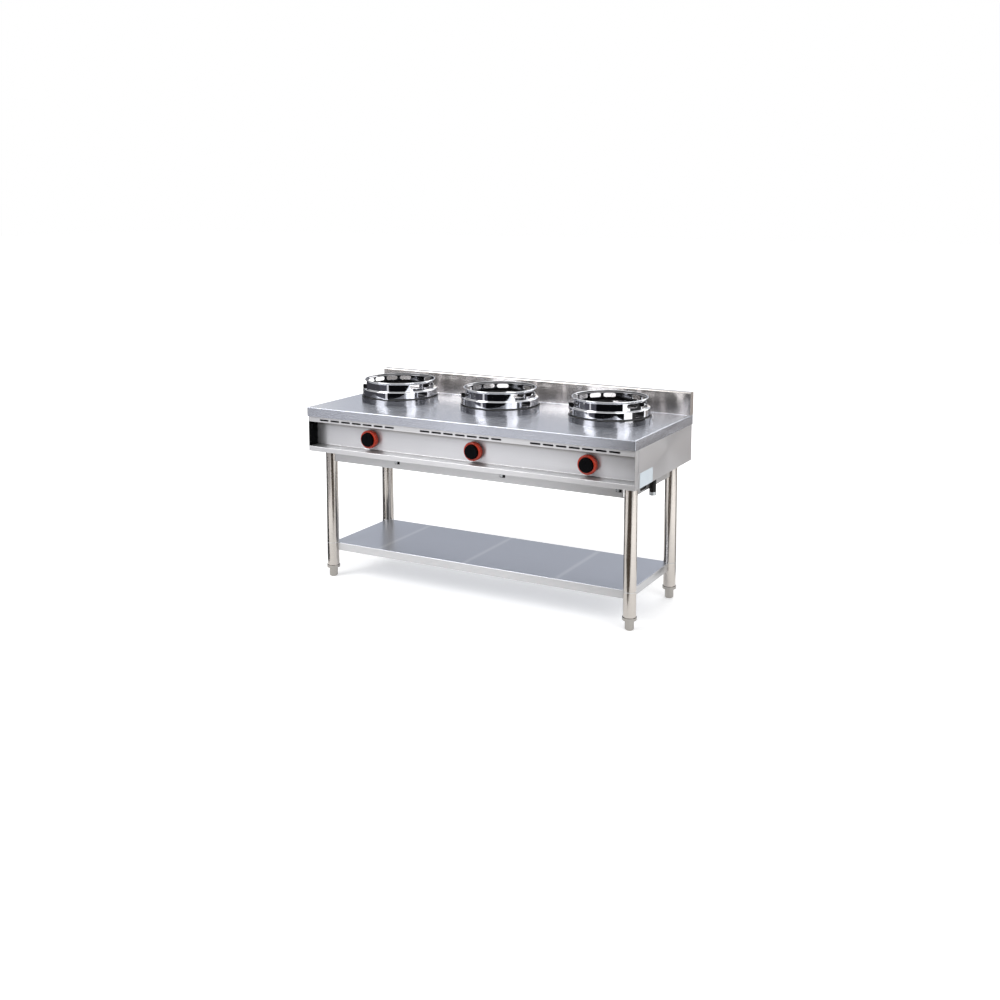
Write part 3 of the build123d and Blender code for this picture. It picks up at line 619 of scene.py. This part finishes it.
def cut_ring(x):
    """A finished ring round the burner at x, as a mesh."""
    body = bmesh.new()
    lathe(body, profile, (x, RING_CENTRE_Y), RING_STEPS)
    cutter = bmesh.new()
    for azimuth in OVALS:
        block(cutter, OVAL_SIZE, around(azimuth, MID_R, OVAL_Z, x), radians(azimuth), OVAL_ROUND,
              8, along_y)
    for azimuth in WINDOWS:
        block(cutter, WINDOW_SIZE, around(azimuth, LOW_R, WINDOW_Z, x), radians(azimuth),
              WINDOW_ROUND, 4, along_y)
    objects = [new_object("ring_body", body), new_object("ring_cutter", cutter)]
    cut = objects[0].modifiers.new("slots", "BOOLEAN")
    cut.operation, cut.solver, cut.object = "DIFFERENCE", "EXACT", objects[1]
    bpy.context.view_layer.update()
    graph = bpy.context.evaluated_depsgraph_get()
    result = bmesh.new()
    result.from_mesh(bpy.data.meshes.new_from_object(objects[0].evaluated_get(graph)))
    for piece in objects:
        bpy.data.objects.remove(piece)
    for azimuth in FEET:
        block(result, (FOOT_W, SHEET, 2 * FOOT_H),
              around(azimuth, LOW_R - SHEET * 1.4, BAND_Z, x), radians(azimuth))
    return result


# %% [markdown]
# Painted shade darkens the upper band on its inner side, so the faces that turn to the axis there
# get a darker mirror.

# %% Polished rings
for side in SIDES:
    low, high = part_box(f"wok_ring_{side}")
    axis = Vector(((low.x + high.x) / 2, RING_CENTRE_Y, 0))
    piece = make_piece(f"wok_ring_{side}_polished", cut_ring(axis.x), "polished_steel",
                       f"wok_ring_{side}", (f"wok_ring_{side}",))
    # Painted shade on the faces inside each ring's upper band.
    piece.data.materials.append(finishes["ring_inside"])
    for face in piece.data.polygons:
        inward = (axis - face.center).to_2d().normalized()
        if face.normal.to_2d().dot(inward) > 0.6 and face.center.z > STEP_Z + BEND:
            face.material_index = 1
    print(piece.name, len(piece.data.polygons), "faces")

# %% [markdown]
# ## The clips on the rings
# A black clip hooks over each ring's shoulder: a small block stands on the shoulder and a wider
# plate lies against the lower band, partly as a painted dark reflection of the clip in that band.

# %% Ring clips
CLIP_AZIMUTH, CLIP_T, CLIP_UP, CLIP_DOWN = -70, 2.2 * MM, 10 * MM, 15 * MM
CLIP_W, TONGUE_W, CLIP_GAP = 22 * MM, 9 * MM, 0.2 * MM
for side in SIDES:
    low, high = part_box(f"wok_ring_{side}")
    x, turn = (low.x + high.x) / 2, radians(CLIP_AZIMUTH)
    clip = bmesh.new()
    plate_z, tongue_z = STEP_Z + (CLIP_UP - CLIP_DOWN) / 2, STEP_Z + CLIP_UP / 2 + CLIP_GAP
    # This plate's black down the lower band is partly painted reflection of the clip in the mirror
    # band.
    block(clip, (CLIP_W, CLIP_T, CLIP_UP + CLIP_DOWN),
          around(CLIP_AZIMUTH, LOW_R + CLIP_GAP + CLIP_T / 2, plate_z, x), turn, 0.8 * MM, 3)
    block(clip, (TONGUE_W, LOW_R - MID_R, CLIP_UP),
          around(CLIP_AZIMUTH, (LOW_R + MID_R) / 2 + CLIP_GAP, tongue_z, x), turn, 1.5 * MM, 3)
    make_piece(f"ring_clip_{side}", clip, "black_pipe", f"wok_ring_{side}")

# %% [markdown]
# ## The seam of the splashback
# The splashback is welded to the worktop and the weld is ground to a bright line.

# %% Splash seam
SEAM_W, SEAM_OUT = 2.4 * MM, 0.6 * MM
splash_low, splash_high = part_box("splashback")
seam = bmesh.new()
block(seam, (splash_high.x - splash_low.x, SEAM_W, SEAM_W),
      ((splash_high.x + splash_low.x) / 2, splash_low.y - SEAM_OUT, splash_low.z + SEAM_OUT), 0,
      1 * MM, 3)
make_piece("splash_seam", seam, "polished_steel", "range_body")

# %% [markdown]
# ## Fillet welds
# A leg that passes a shelf is welded or clamped there, and polished back to a small bead. A
# spun half round gives the bead.


# %% Weld beads
def bead_ring(bm, centre, radius, z, thick):
    """A thin round bead about an upright tube."""
    outline = [(radius + thick * cos(radians(t)), z + thick * sin(radians(t)))
               for t in range(0, 360, 45)]
    lathe(bm, outline, centre, 48)


leg_centres = {}
for name in nodes:
    if name.startswith("leg_"):
        low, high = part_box(name)
        leg_centres[name] = ((low.x + high.x) / 2, (low.y + high.y) / 2, (high.x - low.x) / 2)
shelf_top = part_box("undershelf")[1].z
welds = bmesh.new()
for x, y, radius in leg_centres.values():
    bead_ring(welds, (x, y), radius, shelf_top, 1.0 * MM)
make_piece("shelf_welds", welds, "zinc_steel", "range_body")

# %% [markdown]
# ## The plate on the side
# The right side carries a rating plate. Its words aren't copied, so it is a bare plate of
# bluish film with rounded corners, held by four small rivets.

# %% Bare plate
PLATE_FRONT, PLATE_REAR = -258 * MM, -131 * MM
PLATE_LOW, PLATE_HIGH = 566 * MM, 623 * MM
PLATE_T = 0.8 * MM
side_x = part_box("side_panel_right")[1].x
finishes["plate_film"] = cast("plate_film", (0.74, 0.82, 0.88), (0.70, 0.79, 0.86), 300, 0.35,
                              0.02, coat=0.2)

plate = bmesh.new()
block(plate, (PLATE_T, PLATE_REAR - PLATE_FRONT, PLATE_HIGH - PLATE_LOW),
      (side_x + PLATE_T / 2, (PLATE_FRONT + PLATE_REAR) / 2, (PLATE_LOW + PLATE_HIGH) / 2),
      0, 3 * MM, 4, along_x)
piece = make_piece("bare_plate", plate, "plate_film", "range_body")

RIVET_IN, RIVET_R = 6 * MM, 1.8 * MM


def dome(bm, radius, flat, place, segments):
    """A round head: a ball flattened by flat and set at its place."""
    ball = bmesh.ops.create_uvsphere(bm, u_segments=segments, v_segments=segments // 2,
                                     radius=radius)
    bmesh.ops.scale(bm, vec=flat, verts=ball["verts"])
    bmesh.ops.translate(bm, vec=place, verts=ball["verts"])


rivets = bmesh.new()
for y in (PLATE_FRONT + RIVET_IN, PLATE_REAR - RIVET_IN):
    for z in (PLATE_LOW + RIVET_IN, PLATE_HIGH - RIVET_IN):
        dome(rivets, RIVET_R, (0.35, 1, 1), (side_x + PLATE_T, y, z), 16)
make_piece("plate_rivets", rivets, "zinc_steel", "range_body")

# %% [markdown]
# ## The grommet in the side rail
# The long slot in the right rail is lined with a black rubber strip, pressed in from behind.

# %% Side rail grommet
SLOT_Y, SLOT_UNDER_BODY = -98 * MM, 34.5 * MM
rail_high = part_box("side_rails")[1]
grommet = bmesh.new()
block(grommet, (2.4 * MM, 61.6 * MM, 19.6 * MM),
      (rail_high.x - 0.9 * MM, SLOT_Y, rail_high.z - SLOT_UNDER_BODY), 0, 9.7 * MM, 8, along_x)
make_piece("rail_grommet", grommet, "black_pipe", "range_body")

# %% [markdown]
# ## The thread of the gas inlet
# The male thread is a small ridge wound round the pipe's end. Spinning a triangle while it
# climbs gives the helix.

# %% Inlet thread
THREAD_PITCH = 1.8 * MM
THREAD_DEPTH, THREAD_SINK = 0.5 * MM, 0.2 * MM
THREAD_STEPS = 32
thread_low, thread_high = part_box("inlet_union")
thread_x, thread_y = (thread_low.x + thread_high.x) / 2, (thread_low.y + thread_high.y) / 2
thread_r = (thread_high.x - thread_low.x) / 2
turns = int((thread_high.z - thread_low.z) / THREAD_PITCH) - 1
thread = bmesh.new()
corners = [thread.verts.new((thread_x + r, thread_y, thread_low.z + z))
           for r, z in ((thread_r - THREAD_SINK, 0.1 * MM), (thread_r + THREAD_DEPTH, 0.9 * MM),
                        (thread_r - THREAD_SINK, 1.7 * MM))]
ridge = thread.faces.new(corners)
bmesh.ops.spin(thread, geom=[ridge, *ridge.edges, *ridge.verts],
               cent=(thread_x, thread_y, 0), axis=(0, 0, 1),
               dvec=(0, 0, THREAD_PITCH / THREAD_STEPS), angle=2 * pi * turns,
               steps=THREAD_STEPS * turns, use_duplicate=False)
bmesh.ops.recalc_face_normals(thread, faces=thread.faces)
make_piece("inlet_thread", thread, "zinc_steel", "range_body")
print("thread:", turns, "turns")

# %% [markdown]
# ## Screws at the back
# The back panel comes off for service, so it is held by screws near its edges. Each plain round
# head is a flattened ball, half sunk in the panel.

# %% Back screws
back_low, back_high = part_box("back_panel")
SCREW_R, SCREW_X, SCREW_IN_X, SCREW_IN_Z = 4.2 * MM, 250 * MM, 14 * MM, 12 * MM
screws = bmesh.new()
for x in (back_low.x + SCREW_IN_X, -SCREW_X, SCREW_X, back_high.x - SCREW_IN_X):
    for z in (back_low.z + SCREW_IN_Z, back_high.z - SCREW_IN_Z):
        dome(screws, SCREW_R, (1, 0.5, 1), (x, back_high.y, z), 20)
make_piece("back_screws", screws, "zinc_steel", "range_body")

# %% [markdown]
# ## Floor, world and light
# Metal shows what stands round it, so the studio matters as much as the finish. The world is
# white to the camera and to reflections, and a little dimmer as a light.


# %% Floor and world
def white_to_lens(tree):
    """1 for camera, glossy and transmission rays, and 0 for the light on the object."""
    path = add_node(tree, "ShaderNodeLightPath")
    first = add_node(tree, "ShaderNodeMath", {0: path.outputs["Is Camera Ray"],
                                              1: path.outputs["Is Glossy Ray"]},
                     operation="MAXIMUM")
    return add_node(tree, "ShaderNodeMath", {0: first.outputs[0],
                                             1: path.outputs["Is Transmission Ray"]},
                    operation="MAXIMUM").outputs[0]


WORLD_LIGHT, FLOOR_SIZE = 0.55, 40
world = bpy.data.worlds.new("studio")
bpy.context.scene.world = world
world.use_nodes = True
tree = world.node_tree
tree.nodes.clear()
seen = white_to_lens(tree)
level = add_node(tree, "ShaderNodeMapRange", {"Value": seen, "To Min": WORLD_LIGHT, "To Max": 1.0})
sky = add_node(tree, "ShaderNodeBackground", {"Color": (1, 1, 1, 1),
                                              "Strength": level.outputs[0]})
world_out = tree.nodes.new("ShaderNodeOutputWorld")
tree.links.new(sky.outputs[0], world_out.inputs[0])

floor_bm = bmesh.new()
bmesh.ops.create_grid(floor_bm, x_segments=1, y_segments=1, size=FLOOR_SIZE)
floor = new_object("floor", floor_bm)
floor_material, tree, shader = open_material("floor_paper")
shader.inputs["Base Color"].default_value = (0.85, 0.85, 0.85, 1)
shader.inputs["Roughness"].default_value = 0.9
shader.inputs["Specular IOR Level"].default_value = 0.0
away = add_node(tree, "ShaderNodeVectorMath",
                {0: add_node(tree, "ShaderNodeTexCoord").outputs["Object"]}, operation="LENGTH")
glow = add_node(tree, "ShaderNodeMapRange", {"Value": away.outputs["Value"], "From Min": 0.9,
                                             "From Max": 2.4, "To Min": 0.42, "To Max": 1.0},
                interpolation_type="SMOOTHSTEP")
lift = add_node(tree, "ShaderNodeMath", {0: white_to_lens(tree), 1: glow.outputs[0]},
                operation="MULTIPLY")
shader.inputs["Emission Color"].default_value = (1, 1, 1, 1)
tree.links.new(lift.outputs[0], shader.inputs["Emission Strength"])
floor.data.materials.append(floor_material)
floor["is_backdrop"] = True


# %% Lamps
def area_lamp(name, place, target, size, watts):
    """A soft square lamp aimed at a point."""
    data = bpy.data.lights.new(name, "AREA")
    data.size = size
    data.energy = watts
    lamp = bpy.data.objects.new(name, data)
    lamp.location = place
    lamp.rotation_euler = (Vector(target) - Vector(place)).to_track_quat("-Z", "Y").to_euler()
    bpy.context.collection.objects.link(lamp)


area_lamp("key", (-2.4, -3.2, 3.4), (0, 0, 0.6), 2.4, 110)
area_lamp("fill", (3.6, -1.8, 2.6), (0, 0, 0.6), 2.4, 55)
area_lamp("rear", (0.5, 3.4, 3.2), (0, 0, 0.7), 2.0, 45)

# %% [markdown]
# ## Cards for the reflections
# Cards seen only in reflections give the tubes and rings their streaks, as a photographer's
# flags do. The lens looks down, so upright metal mirrors the floor: most cards lie there like
# slices of a cake round the range. A few stand upright farther out, and one is a strip light.

# %% Cards
FLAT_CARDS = {  # first and last azimuth, near and far edge in metres, colour in reflections
    "front_near": (-6, 50, 0.8, 2.8, (0.12, 0.10, 0.085)),
    "front_far": (-13, 66, 2.8, 5.0, (0.004, 0.004, 0.005)),
    "right": (118, 130, 0.95, 3.2, (0.06, 0.06, 0.06)),
    "right_far": (88, 130, 3.2, 14, (0.06, 0.06, 0.06)),
    "right_rear": (136, 172, 0.95, 14, (0.385, 0.36, 0.345)),
    "left_rear": (-162, -134, 0.95, 14, (0.03, 0.03, 0.03)),
    "left": (-128, -84, 0.95, 14, (0.14, 0.135, 0.16)),
    "left_dark": (-82, -62, 0.95, 14, (0.03, 0.03, 0.035)),
    "left_front": (-60, -13, 1.9, 4.05, (0.64, 0.635, 0.66)),
    "left_front_far": (-60, -13, 4.05, 14, (0.09, 0.09, 0.11)),
}
UPRIGHT_CARDS = {  # first and last azimuth, distance and height in metres, colour
    "strip_light": (-28, -22, 1.66, 1.0, (0.85, 0.85, 0.88)),
    "front_wall": (-13, 66, 5.0, 3.2, (0.004, 0.004, 0.005)),
    "right_wall": (88, 132, 5.0, 2.6, (0.05, 0.05, 0.05)),
    "left_wall": (-130, -44, 5.0, 2.6, (0.07, 0.07, 0.08)),
    "rear_wall": (-178, -136, 6.0, 3.6, (0.66, 0.68, 0.74)),
}
CARD_Z, CARD_STEPS = 0.003, 8


def reflected_card(name, first, last, low_edge, high_edge, colour):
    """A card between two edges of (radius, height), swept from one azimuth to another."""
    bm = bmesh.new()
    spokes = [radians(first + (last - first) * k / CARD_STEPS) for k in range(CARD_STEPS + 1)]
    rows = [[bm.verts.new((r * sin(a), -r * cos(a), z)) for a in spokes]
            for r, z in (low_edge, high_edge)]
    for k in range(CARD_STEPS):
        bm.faces.new((rows[0][k], rows[0][k + 1], rows[1][k + 1], rows[1][k]))
    card = new_object(f"card_{name}", bm)
    paper, _, shader = open_material(f"card_{name}")
    shader.inputs["Base Color"].default_value = (0, 0, 0, 1)
    shader.inputs["Specular IOR Level"].default_value = 0.0
    shader.inputs["Emission Color"].default_value = (*colour, 1)
    shader.inputs["Emission Strength"].default_value = 1.0
    card.data.materials.append(paper)
    card.visible_camera = card.visible_diffuse = card.visible_shadow = False
    card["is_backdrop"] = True


for name, (first, last, near, far, colour) in FLAT_CARDS.items():
    reflected_card(name, first, last, (near, CARD_Z), (far, CARD_Z), colour)
for name, (first, last, distance, height, colour) in UPRIGHT_CARDS.items():
    reflected_card(name, first, last, (distance, CARD_Z), (distance, height), colour)

# %% [markdown]
# ## Last lines
# The size of the finished model's box is printed.

# %% Sizes and finish
low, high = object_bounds()
print("visual size:", [round(v, 4) for v in high - low])
